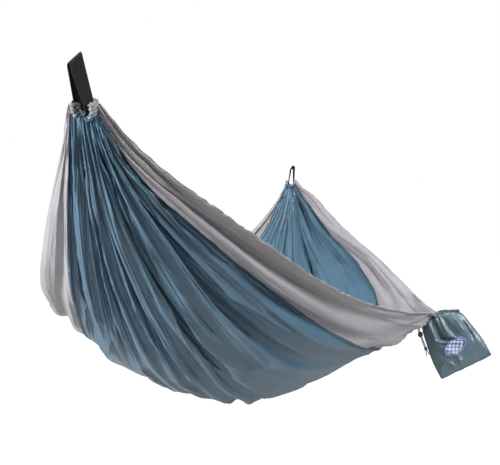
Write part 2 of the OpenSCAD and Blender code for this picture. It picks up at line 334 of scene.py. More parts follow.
def settle(p):
    """Slow shifts the relaxed sheet lacks: taut right hem, full left edge, sag beside the sack."""
    along = np.linspace(-1, 1, p.shape[0])
    u, t = grid(along, np.linspace(-1, 1, p.shape[1]))
    fade = smoothstep(np.linspace(0, 1, HEM_COLS))[:, None]
    hold = hill(along, 0, 0.03)[:, None, None]
    for edge, share in ((slice(0, HEM_COLS), fade[::-1]), (slice(-HEM_COLS, None), fade)):
        strip = p[:, edge]
        p[:, edge] = strip + (evened(strip, HEM_PASSES) - strip) * share * (1 - hold)
    soft = evened(p.swapaxes(0, 1), BODY_PASSES).swapaxes(0, 1)
    full_lobe = hill(u, -0.34, 0.17) * between(t, 0.05, 0.3, 0.82, 0.96)
    keel = hill(u, -0.22, 0.24) * hill(t, 0.20, 0.50) * (1 - full_lobe)
    p = p + (soft - p) * (0.85 * full_lobe + 0.60 * keel)[..., None]
    taut_near = 0.030 * hill(u, -0.70, 0.22) * smoothstep(-t, 0.45, 0.85)
    taut_far = 0.088 * between(u, -0.05, 0.42, 0.78, 1.06) * smoothstep(-t, 0.25, 0.92)
    lifted = hill(u, 0.36, 0.26) * hill(t, -0.70, 0.30) * (1 - smoothstep(-t, 0.8, 1.0))
    full = 0.020 * smoothstep(t, 0.8, 1.0) * between(u, -1.0, -0.62, -0.60, -0.46)
    full += 0.017 * hill(u, -0.78, 0.28) * smoothstep(t, 0.4, 0.8)
    sag = 0.012 * hill(t, -0.2, 0.28) * hill(u, 0, 0.5)
    sag += 0.036 * hill(t, -0.87, 0.14) * hill(u, -0.02, 0.24) * (1 - smoothstep(-t, 0.975, 1.0))
    p[..., 1] += full - 0.034 * lifted
    p[..., 2] += taut_near + taut_far + 0.026 * lifted - sag
    return p


CLOTH = hanging_cloth()
R2, C2 = CLOTH.shape[:2]
T_OF_COL = np.linspace(-1, 1, C2)
U_OF_ROW = np.linspace(-1, 1, R2)
WARP_OF_ROW, WEFT_OF_COL = WARP_LENGTH * U_OF_ROW / 2, WEFT_WIDTH * T_OF_COL / 2
NORMAL = grid_normals(CLOTH)
FLIP = NORMAL[R2 // 2, C2 // 2, 2] > 0
if FLIP:
    NORMAL = -NORMAL


def ridges(across, along, seed, sharp=1.6):
    """Crisp creases from -1 to 1: narrow bright crests between wider hollows, some ending part way."""
    wander = across + 0.45 * value_noise(across * 0.35 + 30, along * 1.1 + 50, seed)
    crest = 1 - np.abs(value_noise(wander + 80, along + 20, seed + 1)) ** 0.7
    return 2 * crest ** sharp - 1


def detail(points, normals):
    """Fine pleats towards the gathers, puckers beside seams and hems, creases and crinkles."""
    U, T = grid(np.abs(U_OF_ROW), T_OF_COL)
    warp, weft = grid(WARP_OF_ROW, WEFT_OF_COL)
    plain = 1 - 0.75 * smoothstep(np.abs(T), SEAM_SHARE - 0.02, SEAM_SHARE + 0.06)
    gathered = smoothstep(U, 0.25, 0.75) * smoothstep(1 - U, 0.0, 0.07)
    uneven = 0.6 + 0.7 * value_noise(weft * 7 + 70, warp * 1.5 + 90, 2)
    bump = 0.0058 * gathered * plain * uneven * ridges(weft * 62, warp * 2.2, 3)
    start = 0.1 + 0.2 * (U_OF_ROW < 0)[:, None] * smoothstep(T, -0.5, 0.1)
    rising = smoothstep((U - start) / 0.4)
    bump += 0.0062 * rising * plain * uneven * ridges(weft * 30, warp * 2.0, 5)
    bump += 0.0026 * gathered * plain * ridges(weft * 118, warp * 5, 8)
    loose = 1 - smoothstep(U, 0.45, 0.8)
    bump += 0.0055 * loose * plain * ridges(weft * 11 + warp * 1.7, warp * 3.0, 15, 2.2)
    bump += 0.0012 * loose * value_noise(warp * 15 + 40, weft * 22 + 40, 7)
    for share in (-SEAM_SHARE, SEAM_SHARE):
        away = np.abs(T - share) * WEFT_WIDTH / 2
        pucker = value_noise(warp * 48 + 90, share * 11 + weft * 4, 11)
        bump += 0.0024 * pucker * np.exp(-away / 0.022)
    for share in (-1, 1):
        away = np.abs(T - share) * WEFT_WIDTH / 2
        pucker = value_noise(warp * 95 + 30, share * 5 + 0 * T, 12)
        bump += 0.0018 * pucker * np.exp(-away / 0.012)
    bands = smoothstep(np.abs(T), SEAM_SHARE - 0.01, SEAM_SHARE + 0.04)
    bump += 0.0080 * bands * (1 - 0.8 * (T > 0)) * ridges(weft * 26 + 0.6 * U, warp * 1.3, 27, 1.0)
    for share in (-1, 1):
        run, drop = np.abs(warp), (1 - share * T) * WEFT_WIDTH / 2 + 0.004
        ray, reach = np.arctan2(drop, warp), np.hypot(run, drop)
        pull = ridges(ray * 7, reach * 3, 13 + share, 1.3)
        bump += 0.0065 * pull * smoothstep(reach, 0.0, 0.05) * hill(reach, 0, 0.26)
    return points + normals * bump[..., None]


CLOTH = detail(CLOTH, NORMAL)
NORMAL = grid_normals(CLOTH) * (-1 if FLIP else 1)

# ---- mesh helpers ----


def add_object(name, data):
    obj = bpy.data.objects.new(name, data)
    SCENE.collection.objects.link(obj)
    return obj


def add_mesh(name, points, faces, material, uv=None, normals=None):
    """A new mesh object. uv is one (x, y) per vertex; normals is one direction per vertex."""
    mesh = bpy.data.meshes.new(name)
    mesh.from_pydata(np.reshape(points, (-1, 3)).tolist(), [], faces)
    mesh.validate()
    mesh.shade_smooth()
    if uv is not None:
        layer = mesh.uv_layers.new(name="UVMap")
        index = np.zeros(len(mesh.loops), np.int32)
        mesh.loops.foreach_get("vertex_index", index)
        layer.data.foreach_set("uv", np.asarray(uv, np.float32)[index].ravel())
    if normals is not None:
        mesh.normals_split_custom_set_from_vertices(normals.reshape(-1, 3).tolist())
    mesh.materials.append(material)
    return add_object(name, mesh)


def grid_faces(rows, cols, wrap_rows=False, wrap_cols=False, flip=False):
    i = np.arange(rows if wrap_rows else rows - 1)
    j = np.arange(cols if wrap_cols else cols - 1)
    I, J = grid(i, j)
    I2, J2 = (I + 1) % rows, (J + 1) % cols
    quads = np.stack([I * cols + J, I2 * cols + J, I2 * cols + J2, I * cols + J2], -1)
    return (quads[..., ::-1] if flip else quads).reshape(-1, 4).tolist()


def tube_faces(rows, cols):
    """Quads round a row of rings, and a cap at each end."""
    caps = [list(range(cols)), list(range((rows - 1) * cols, rows * cols))[::-1]]
    return grid_faces(rows, cols, wrap_cols=True) + caps


def path_frames(path, closed=False, up=(0.0, 0.0, 1.0)):
    """Tangent, side and up at each point of a path."""
    if closed:
        tangent = unit(np.roll(path, -1, 0) - np.roll(path, 1, 0))
    else:
        tangent = unit(np.gradient(path, axis=0))
    side = unit(np.cross(tangent, np.broadcast_to(up, tangent.shape)))
    return tangent, side, unit(np.cross(side, tangent))


def sweep(name, path, profile, material, closed=False, up=(0.0, 0.0, 1.0), scale=1.0):
    """A profile (side, up) carried along a path. scale is one factor per path point."""
    profile = np.asarray(profile, float)
    _, side, upward = path_frames(path, closed, up)
    sized = profile[None] * np.broadcast_to(scale, len(path))[:, None, None]
    rings = path[:, None] + side[:, None] * sized[..., 0:1] + upward[:, None] * sized[..., 1:2]
    rows, cols = rings.shape[:2]
    faces = grid_faces(rows, cols, True, True) if closed else tube_faces(rows, cols)
    return add_mesh(name, rings, faces, material, grid_uv(run_of(path), run_of(profile)))


def circle(radius, sides, squash=1.0):
    a = round_angles(sides)
    return xyz(radius * np.cos(a), radius * squash * np.sin(a))


def threads(name, starts, ends, outward, radius, material, sides=5):
    """Many short stitches in one mesh: each dips into the cloth at both ends."""
    side = unit(np.cross(unit(ends - starts), outward))
    up = unit(np.cross(side, unit(ends - starts)))
    stations = ((0.0, 0.35, -0.6), (0.15, 0.95, 0.2), (0.5, 1.05, 0.45), (0.85, 0.95, 0.2),
                (1.0, 0.35, -0.6))
    a = round_angles(sides)[None, :, None]
    rings = []
    for at, thick, rise in stations:
        centre = starts * (1 - at) + ends * at + up * radius * rise
        ring = side[:, None] * np.cos(a) + up[:, None] * np.sin(a)
        rings.append(centre[:, None] + radius * thick * ring)
    one = tube_faces(len(stations), sides)
    per = len(stations) * sides
    faces = [[v + k * per for v in f] for k in range(len(starts)) for f in one]
    return add_mesh(name, np.stack(rings, 1), faces, material)


def dashes(line, keep):
    """The ends of one stitch per step of a line, each stitch a share of its step long."""
    mid = (line[:-1] + line[1:]) / 2
    return mid + (line[:-1] - mid) * keep, mid + (line[1:] - mid) * keep


def resample(path, step):
    """Points at an even step along a path."""
    run = run_of(path)
    at = np.arange(0, run[-1], step)
    return np.stack([np.interp(at, run, path[:, k]) for k in range(path.shape[1])], -1)


# ---- materials ----


class Nodes:
    """A short way to write node trees."""

    def __init__(self, name, roughness, specular):
        self.material = bpy.data.materials.new(name)
        self.material.use_nodes = True
        self.tree = self.material.node_tree
        self.tree.nodes.clear()
        self.bsdf = self.node("BsdfPrincipled", Roughness=roughness, Specular_IOR_Level=specular)
        self.out = self.node("OutputMaterial", Surface=self.bsdf.outputs[0])

    def node(self, kind, **inputs):
        return self.put(self.tree.nodes.new("ShaderNode" + kind), **inputs)

    def put(self, node, **inputs):
        """Sets or links inputs by name, with _ for a space, or by number, as in_0."""
        for key, value in inputs.items():
            socket = node.inputs[int(key[3:]) if key.startswith("in_") else key.replace("_", " ")]
            if isinstance(value, bpy.types.NodeSocket):
                self.tree.links.new(value, socket)
            else:
                socket.default_value = value
        return node

    def coords(self, which="UV", scale=(1, 1, 1)):
        at = self.node("TexCoord").outputs[which]
        return self.node("Mapping", Vector=at, Scale=scale).outputs[0]

    def noise(self, vector, scale, detail=2.0, roughness=0.5):
        return self.node("TexNoise", Vector=vector, Scale=scale, Detail=detail,
                         Roughness=roughness).outputs[0]

    def wave(self, vector, scale, direction="X", distortion=0.0):
        n = self.node("TexWave", Vector=vector, Scale=scale, Distortion=distortion)
        n.bands_direction = direction
        return n.outputs[1]

    def lattice(self, op, rise, *wave):
        """Two sets of diagonal waves that cross."""
        return self.math(op, *(self.wave(self.coords("UV", (1, way, 1)), *wave) for way in (rise, -rise)))

    def math(self, op, a, b):
        n = self.node("Math", in_0=a, in_1=b)
        n.operation = op
        return n.outputs[0]

    def add(self, a, share_a, b, share_b):
        return self.math("ADD", self.math("MULTIPLY", a, share_a), self.math("MULTIPLY", b, share_b))

    def bump(self, height, distance, strength, **more):
        return self.node("Bump", Height=height, Distance=distance, Strength=strength, **more).outputs[0]

    def relief(self, *bump, **more):
        self.put(self.bsdf, Normal=self.bump(*bump, **more))

    def rough(self, value, share, floor):
        self.put(self.bsdf, Roughness=self.math("ADD", self.math("MULTIPLY", value, share), floor))

    def colour(self, value, *stops):
        n = self.node("ValToRGB", in_0=value)
        for e, (at, color) in zip(n.color_ramp.elements, stops):
            e.position, e.color = at, tuple(color) + (1,)
        self.put(self.bsdf, Base_Color=n.outputs[0])


def srgb(r, g, b):
    """Linear colour from 0-255 display values."""
    shares = (r / 255, g / 255, b / 255)
    return tuple(c / 12.92 if c <= 0.04045 else ((c + 0.055) / 1.055) ** 2.4 for c in shares)


def tint(color, k):
    return tuple(c * k for c in color)


def taffeta(name, color, roughness=0.38, translucent=0.05, crease=0.0014):
    """Thin plain-woven nylon. UVs are metres on the flat cloth: x along the warp."""
    m = Nodes(name, roughness, 0.5)
    metres = m.coords()
    streak = m.noise(m.coords("UV", (3, 70, 1)), 1.0, 3.0)
    cloud = m.noise(metres, 9.0, 3.0)
    m.colour(m.add(streak, 0.5, cloud, 0.5), (0.3, tint(color, 0.86)), (0.7, tint(color, 1.1)))
    m.rough(cloud, 0.16, roughness - 0.08)
    m.put(m.bsdf, Sheen_Weight=0.08, Sheen_Roughness=0.4)
    weave = m.math("MULTIPLY", m.wave(metres, 700, "X"), m.wave(metres, 700, "Y"))
    ripple = m.noise(m.coords("UV", (14, 60, 1)), 1.0, 4.0, 0.6)
    m.relief(weave, 0.00012, 0.35, Normal=m.bump(ripple, crease, 0.8))
    thin = m.node("BsdfTranslucent", Color=tint(color, 1.1) + (1,))
    mixed = m.node("MixShader", Fac=translucent, in_1=m.bsdf.outputs[0], in_2=thin.outputs[0])
    m.put(m.out, Surface=mixed.outputs[0])
    return m.material


def woven_strap(name, color):
    """Webbing: a chevron weave with ribs across; UVs are metres, x along the strap."""
    m = Nodes(name, 0.75, 0.35)
    metres = m.coords()
    height = m.add(m.wave(metres, 230, "X", 0.4), 0.6, m.wave(metres, 330, "Y"), 0.5)
    fuzz = m.noise(metres, 900.0, 2.0)
    m.colour(m.add(height, 0.5, fuzz, 0.4), (0.2, tint(color, 0.6)), (0.8, tint(color, 1.5)))
    m.relief(height, 0.0005, 0.7)
    return m.material


def thread_material(name, color):
    m = Nodes(name, 0.6, 0.4)
    fibre = m.noise(m.coords("Object"), 1500.0, 2.0)
    m.colour(fibre, (0.3, tint(color, 0.7)), (0.7, tint(color, 1.3)))
    m.relief(fibre, 0.0002, 0.6)
    return m.material


def braid(name, color):
    """Round braided cord; UVs are metres, x along the cord."""
    m = Nodes(name, 0.7, 0.35)
    height = m.lattice("MAXIMUM", 1, 420, "DIAGONAL")
    m.colour(height, (0.3, tint(color, 0.6)), (0.9, tint(color, 1.4)))
    m.relief(height, 0.0004, 0.8)
    return m.material


def plastic(name, color):
    m = Nodes(name, 0.45, 0.5)
    at = m.coords("Object")
    scuff = m.noise(at, 140.0, 4.0)
    m.colour(scuff, (0.35, tint(color, 0.85)), (0.75, tint(color, 1.5)))
    m.rough(scuff, 0.25, 0.32)
    m.relief(m.noise(at, 1800.0, 2.0), 0.0001, 0.35)
    return m.material


def steel(name):
    m = Nodes(name, 0.3, 0.5)
    m.put(m.bsdf, Metallic=1.0)
    draw = m.noise(m.coords("Object", (4000, 300, 300)), 1.0, 2.0)
    m.colour(draw, (0.3, (0.42, 0.42, 0.43)), (0.7, (0.62, 0.62, 0.64)))
    m.relief(draw, 0.00005, 0.4)
    return m.material


def badge_field(name):
    """Pale embroidered field with a plain lattice of darker thread."""
    m = Nodes(name, 0.6, 0.3)
    lattice = m.lattice("MINIMUM", 1.1, 3.1, "DIAGONAL", 1.0)
    m.colour(lattice, (0.05, srgb(92, 100, 150)), (0.24, srgb(205, 212, 236)))
    m.relief(m.wave(m.coords(), 38, "Y", 0.8), 0.0003, 0.6)
    return m.material


def satin_rim(name):
    m = Nodes(name, 0.45, 0.4)
    uv = m.coords()
    thread = m.wave(uv, 700, "Y", 0.3)
    mix = m.add(thread, 0.5, m.noise(uv, 60.0, 2.0), 0.5)
    m.colour(mix, (0.3, srgb(84, 96, 150)), (0.7, srgb(140, 150, 200)))
    m.relief(thread, 0.0003, 0.7)
    return m.material


BLUE = taffeta("blue_taffeta", srgb(73, 102, 121), 0.36)
GREY = taffeta("grey_taffeta", srgb(150, 147, 151), 0.4, 0.04)
# A darker copy of the grey cloth for the gathered channel's grey ends: painted shade in the bunched cloth
GREY_PAINTED_SHADE = taffeta("grey_taffeta_painted_shade", srgb(122, 120, 123), 0.55, 0.0)
SACK = taffeta("sack_taffeta", srgb(88, 108, 118), 0.3, 0.03, 0.0006)
# Darker than the blue cloth: painted shade along the seams; no translucency, as the seam is a double layer
SEAM_BLUE_PAINTED_SHADE = taffeta("seam_blue_painted_shade", srgb(58, 84, 104), 0.5, 0.0, 0.0005)
STRAP = woven_strap("black_webbing", srgb(16, 16, 17))
THREAD = thread_material("dark_thread", srgb(48, 50, 56))
GREY_THREAD = thread_material("grey_thread", srgb(95, 95, 102))
CORD = braid("dark_cord", srgb(34, 35, 40))
PLASTIC = plastic("black_plastic", srgb(26, 26, 28))
WIRE = steel("spring_wire")
SACK_DARK = taffeta("sack_binding", srgb(44, 62, 72), 0.5, 0.0, 0.0004)
BADGE_FIELD = badge_field("badge_field")
BADGE_RIM = satin_rim("badge_rim")
# A little lighter than the black plastic, for the lock's button
PLASTIC_LIGHTER = plastic("lighter_plastic", srgb(34, 34, 37))

# ---- the three panels, seams and hems ----
SEAM_COL = {side: int(round((1 + side * SEAM_SHARE) / 2 * (C2 - 1))) for side in (-1, 1)}
KEEL_COL = C2 // 2
SIDE = {-1: "right", 1: "left"}


def fit(obj, where, slot, *nodes):
    """Puts a piece on a body, or, for a side of the cloth (-1 or 1), only bakes its place into its mesh;
    hides the CAD nodes it stands in for.
    """
    if where in SIDE:
        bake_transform(obj)
    else:
        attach(obj, where)
    if nodes:
        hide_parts(*nodes)


def panel(name, first, last, side, material, slot, node):
    cols = slice(first, last + 1)
    obj = add_mesh(name, CLOTH[:, cols], grid_faces(R2, last - first + 1, flip=FLIP), material,
                   grid_uv(WARP_OF_ROW, WEFT_OF_COL[cols]), NORMAL[:, cols])
    fit(obj, side, slot, node)


panel("centre_cloth_right", SEAM_COL[-1], KEEL_COL, -1, BLUE, "blue_cloth", "centre_panel")
panel("centre_cloth_left", KEEL_COL, SEAM_COL[1], 1, BLUE, "blue_cloth", "centre_panel")
panel("right_cloth", 0, SEAM_COL[-1], -1, GREY, "grey_cloth", "right_panel")
panel("left_cloth", SEAM_COL[1], C2 - 1, 1, GREY, "grey_cloth", "left_panel")


def column(col, lift=0.0):
    """A line of the cloth along the warp, at fractional columns, lifted off its outer face."""
    col = np.broadcast_to(col, R2)
    low = np.clip(np.floor(col).astype(int), 0, C2 - 2)
    f, rows = (col - low)[:, None], np.arange(R2)
    p = CLOTH[rows, low] * (1 - f) + CLOTH[rows, low + 1] * f
    n = unit(NORMAL[rows, low] * (1 - f) + NORMAL[rows, low + 1] * f)
    return p + n * lift, n


COL_WIDTH = gaps(CLOTH, 1)
SEAM_LIFT = 0.0014


def seam(side):
    """A flat-felled seam: a low ridge outside and inside, with two rows of stitches."""
    col, name = SEAM_COL[side], SIDE[side]
    half = np.minimum(0.010 / (COL_WIDTH[:, col - 1] + COL_WIDTH[:, col]), 4.4)
    sections = ((-1, 0.0), (-0.85, 0.0011), (0, SEAM_LIFT), (0.85, 0.0011), (1, 0.0),
                (0.85, -0.0011), (0, -SEAM_LIFT), (-0.85, -0.0011))
    rings = np.stack([column(col + share * half, lift)[0] for share, lift in sections], 1)
    # The seam ridge's darker blue is painted shade along the seam
    obj = add_mesh(f"{name}_seam_ridge", rings, grid_faces(R2, len(sections), wrap_cols=True), SEAM_BLUE_PAINTED_SHADE,
                   grid_uv(WARP_OF_ROW, np.linspace(0, 0.02, len(sections))))
    fit(obj, side, "blue_cloth", f"{name}_seam")
    for k, share in enumerate((-0.5, 0.5)):
        for face, lift in (("out", 1), ("in", -1)):
            line = column(col + share * float(np.median(half)), lift * SEAM_LIFT)
            # The step also counts the normal's turns, so stitches crowd where the cloth creases
            both = resample(np.concatenate(line, 1)[4:-4], 0.0045)
            stitches = threads(f"{name}_seam_stitches_{face}_{k}", *dashes(both[:, :3], 0.72),
                               both[:-1, 3:] * lift, 0.0004, THREAD)
            fit(stitches, side, "thread")


seam(-1)
seam(1)

HEM_STEP = 0.005


def hem(side):
    """A rolled hem, drawn in a little at each stitch."""
    line, _ = column(0 if side < 0 else C2 - 1)
    dense = resample(line[1:-1], HEM_STEP)
    s = np.arange(len(dense)) * HEM_STEP
    swell = 1 + 0.16 * value_noise(s * 60, 0 * s + side * 3 + 8, 21)
    obj = sweep(f"{SIDE[side]}_hem_roll", dense, circle(0.0036, 10, 0.72), GREY, scale=swell)
    fit(obj, side, "grey_cloth", f"{SIDE[side]}_hem")
    _, sideways, _ = path_frames(dense)
    a, b = dashes(dense[2:-2], 0.75)
    for k, way in enumerate((1, -1)):
        out = way * sideways[2:-3]
        lift = out * 0.0034
        name = f"{SIDE[side]}_hem_stitches_{k}"
        fit(threads(name, a + lift, b + lift, out, 0.0006, THREAD), side, "thread")


hem(-1)
hem(1)

# ---- gathered ends ----


def end_frame(which):
    """Matrix of a gathered end: local Z leans away from the cloth along the loop."""
    way, pivot = (1, NEAR_PIVOT) if which == "near" else (-1, FAR_PIVOT)
    x = np.array([way * math.cos(LOOP_LEAN), 0, math.sin(LOOP_LEAN)])
    y = np.array([0.0, way, 0.0])
    return np.stack([x, y, np.cross(x, y), pivot], 1)


def place(m, points):
    return points @ m[:, :3].T + m[:, 3]


SLEEVE_R, SLEEVE_LEG, SLEEVE_STEPS, SLEEVE_SIDES = 0.0165, 0.013, 180, 40


def sleeve(which, seed):
    """The folded cloth that the webbing runs through, bunched into ruffles round a U."""
    share = np.linspace(0, 1, SLEEVE_STEPS + 1)
    y, z = u_point(share, SLEEVE_R, SLEEVE_LEG)
    path = xyz(0, y, z)
    outward = unit(np.cross(unit(np.gradient(path, axis=0)), X_AXIS))
    a = round_angles(SLEEVE_SIDES)
    S, A = grid(share, a)
    ruffle = np.sin(2 * np.pi * (S * 11 + 0.5 * value_noise(S * 8 + 3, A * 1.3 + 2, seed)
                                 + 0.25 * np.sin(A)))
    small = value_noise(S * 60 + 9, A * 2.2 + 5, seed + 1)
    ends = np.minimum(smoothstep(S, -0.02, 0.05), smoothstep(1 - S, -0.02, 0.05))
    swell = (1 + 0.09 * ruffle + 0.05 * small) * (0.55 + 0.45 * ends)
    wide = 0.0150 * np.cos(A) * swell
    thick = 0.0068 * np.sin(A) * swell + 0.0006 * small
    points = path[:, None] + wide[..., None] * X_AXIS + thick[..., None] * outward[:, None]
    points = place(end_frame(which), points)
    # The grey ends take the darker copy of the grey cloth: painted shade in the gather
    for lo, hi, material, slot, tag in ((0, 0.27, GREY_PAINTED_SHADE, "grey_cloth", "a"),
                                        (0.27, 0.73, BLUE, "blue_cloth", "b"),
                                        (0.73, 1.0, GREY_PAINTED_SHADE, "grey_cloth", "c")):
        rows = slice(int(round(lo * SLEEVE_STEPS)), int(round(hi * SLEEVE_STEPS)) + 1)
        faces = grid_faces(rows.stop - rows.start, SLEEVE_SIDES, wrap_cols=True)
        obj = add_mesh(f"{which}_channel_{tag}", points[rows], faces, material,
                       grid_uv(share[rows] * 1.3, a / 40))
        fit(obj, "bed", slot, f"{which}_channel", f"{which}_channel_stitching")


sleeve("near", 31)
sleeve("far", 41)

# ---- webbing loops ----

WEB_W, WEB_T = 0.025, 0.0018
BEND_R, EYE_R, LOOP_LEN = 0.0105, 0.006, 0.080


def loop_path():
    """The closed line of the strap's middle, in the loop's local YZ plane."""
    low, high = BEND_R + WEB_T / 2, EYE_R + WEB_T / 2
    rise = np.linspace(0, 1, 30)[:-1]
    bend, eye = np.linspace(-math.pi, 0, 25)[:-1], np.linspace(0, math.pi, 21)[:-1]
    y = np.concatenate([low * np.cos(bend), low + (high - low) * rise, high * np.cos(eye),
                        -high - (low - high) * rise])
    z = np.concatenate([low * np.sin(bend), LOOP_LEN * rise, LOOP_LEN + high * np.sin(eye),
                        LOOP_LEN * (1 - rise)])
    return xyz(0, y, z)


def strap_profile():
    """A strap section with rounded edges, in (across, thick)."""
    w, t = WEB_W / 2, WEB_T / 2
    top = [(x, t * (1 - 0.25 * abs(x / w) ** 6)) for x in np.linspace(-w * 0.97, w * 0.97, 13)]
    edge = [(w, t * 0.35), (w, -t * 0.35)]
    bottom = [(x, -y) for x, y in top[::-1]]
    return np.array(top + edge + bottom + [(-w, -t * 0.35), (-w, t * 0.35)])


def loop(which, twist_low, twist_high, slant):
    """A sewn strap that twists from its bend to its eye, where slant tips its top over."""
    def turned(points, share):
        angle = twist_low + (twist_high - twist_low) * smoothstep(share)
        x, y = spin(points[..., 0], points[..., 1], angle)
        return place(m, xyz(x, y, points[..., 2] - slant * y * share ** 2))

    m = end_frame(which)
    path, profile = loop_path(), strap_profile()
    outward = np.cross(unit(np.roll(path, -1, 0) - np.roll(path, 1, 0)), X_AXIS)
    points = path[:, None] + profile[None, :, 0:1] * X_AXIS + profile[None, :, 1:2] * outward[:, None]
    rise = np.clip(path[:, 2] / LOOP_LEN, 0, 1)[:, None]
    faces = grid_faces(len(path), len(profile), True, True)
    obj = add_mesh(f"{which}_strap", turned(points, rise), faces, STRAP,
                   grid_uv(np.arange(len(path)) * 0.0016, run_of(profile)))
    fit(obj, f"{which}_suspension", "webbing", f"{which}_loop")
    # The bartack: a box of dense stitches with a cross in it, on the outer face of one leg
    w, low, high, step, gap = 0.0085, 0.027, 0.043, 0.0022, 0.08
    corners = ((-w, low), (w, low), (w, high), (-w, high))
    stitches = []
    for first, second in ((0, 1), (1, 2), (2, 3), (3, 0), (0, 2), (1, 3)):
        (x0, z0), (x1, z1) = corners[first], corners[second]
        n = max(2, int(math.hypot(x1 - x0, z1 - z0) / step))
        for k in range(n):
            both = (k + gap) / n, (k + 1 - gap) / n
            stitches.append([(x0 + (x1 - x0) * at, 0, z0 + (z1 - z0) * at) for at in both])
    ends = np.array(stitches).swapaxes(0, 1)
    share = ends[..., 2] / LOOP_LEN
    ends[..., 1] = BEND_R + WEB_T + (EYE_R - BEND_R) * share + 0.0002
    middle = (twist_low + twist_high) / 2
    out = np.array([-math.sin(middle), math.cos(middle), 0]) @ m[:, :3].T
    fit(threads(f"{which}_bartack", *turned(ends, share), out, 0.0005, GREY_THREAD, 6),
        f"{which}_suspension", "thread", f"{which}_loop_bartack")


loop("near", math.radians(-20), math.radians(-44), 0.70)
loop("far", math.radians(20), math.radians(27), 0.0)

# ---- the stuff sack ----

MOUTH_SHIFT = -0.018
MOUTH_HALF, BOTTOM_HALF = 0.058, 0.075
BODY_TOP, SACK_H = -0.0135, 0.150
FRILL = 0.06
AROUND, DOWN = 288, 150


def pitched(points, angle, shift):
    """Points turned about X, then moved."""
    points = np.asarray(points, float)
    y, z = spin(points[..., 1], points[..., 2], angle)
    return xyz(points[..., 0], y, z) + shift


def in_sack(points):
    """From the sack's own frame, with its origin on the swing axis, to the row frame."""
    return pitched(points, -SACK_TILT, SACK_AXIS)


def half_width(v):
    """Half the sack's width: drawn in at the mouth, straight-sided lower down."""
    return MOUTH_HALF + (BOTTOM_HALF - MOUTH_HALF) * smoothstep(np.clip(v, 0, 1), -0.1, 0.8)


def front_folds(s, below):
    """The folds that only the sack's front has; s runs from -1 outboard to 1 inboard."""
    # A long soft ridge that falls from the mouth down the inboard side and swings inwards
    turn = 0.62 - 1.0 * smoothstep(below, 0.28, 0.62)
    draped = hill(s, turn, 0.13) * (1 - smoothstep(below, 0.42, 0.62))
    beside = hill(s, turn - 0.26, 0.13) * (1 - smoothstep(below, 0.34, 0.55))
    # A deep tuck by the outboard edge, with full cloth on both sides of it
    tuck = hill(s, 0.22 * (below - 0.35) - 0.80, 0.075) * between(below, 0.16, 0.34, 0.42, 0.72)
    outer = between(-s, 0.12, 0.66, 0.68, 0.80) * between(below, -0.05, 0.22, 0.34, 0.5)
    centre = between(-s, -0.36, 0.02, 0.03, 0.14) * between(below, 0.0, 0.22, 0.32, 0.44)
    low = hill(below, 0.86 + 0.05 * s, 0.055) * (1 - np.abs(s) ** 4)
    # The mouth's inboard front stands out to take in the hem
    mouth = hill(s, 0.30, 0.35) * (1 - smoothstep(below, 0.0, 0.15))
    return (0.0075 * draped - 0.0070 * beside - 0.0095 * tuck + 0.0125 * outer + 0.0080 * centre
            + 0.0040 * low + 0.0070 * mouth)


def on_sack(a, v):
    """A point of the sack: a runs round it, from 0 at the inboard edge over the front, and v down it."""
    s = np.cos(a)
    front = np.where(np.sin(a) >= 0, 1.0, -1.0)
    seed = np.where(front > 0, 0.0, 40.0)
    below = np.clip(v, 0, 1)
    half = half_width(v)
    crown = (1 - np.abs(s) ** 3) ** 0.9
    belly = np.sin(np.pi * np.clip(0.10 + 0.90 * below ** 0.85, 0, 1)) ** 0.8
    depth = 0.0012 + crown * (0.0050 + 0.0130 * belly) * (1 - below ** 8)
    # Pleats fan out from the drawn-in mouth, a little inboard of its middle
    fan = (s * half + 0.006) / (0.052 + 0.15 * (below + 0.20))
    near = np.exp(-np.maximum(v, 0) / 0.24)
    folds = 0.0044 * near * ridges(fan * 5.5 + 10 + seed, v * 1.4 + 20, 51, 1.2)
    folds += 0.0026 * near * ridges(fan * 13 + 30 + seed, v * 2.5 + 20, 53, 1.2)
    # Slack folds across the body
    slack = ridges(s * 1.3 + v * 1.9 + 20 + seed, v * 1.8 - s * 1.2 + 30, 56, 1.0)
    folds += 0.0046 * slack * between(below, 0.15, 0.45, 0.82, 1.0)
    folds += (front > 0) * front_folds(s, below)
    edge = smoothstep(1 - np.abs(s), 0.0, 0.10)
    cinch = 1 - 0.35 * hill(v, -0.02, 0.030)
    depth = depth * cinch + folds * edge * (0.5 + 0.5 * crown)
    depth = np.maximum(depth, 0.0011 * edge + 0.0006)
    arch = 0.0155 * (1 - np.abs(s + 0.2) ** 1.7) - 0.003 + 0.0075 * hill(s, 0.45, 0.32)
    arch = (arch - 0.010 * smoothstep(-s, 0.1, 0.95)) * (1 - smoothstep(below, 0.0, 0.22))
    z = BODY_TOP - SACK_H * v + arch
    z = z + 0.0022 * value_noise(a * 5 + 10, 0 * v + 5, 55) * smoothstep(-v, 0.0, FRILL)
    return xyz(-front * depth, MOUTH_SHIFT + s * half, z)


FRILL_ROWS, GIRTH_ROW = 18, 40


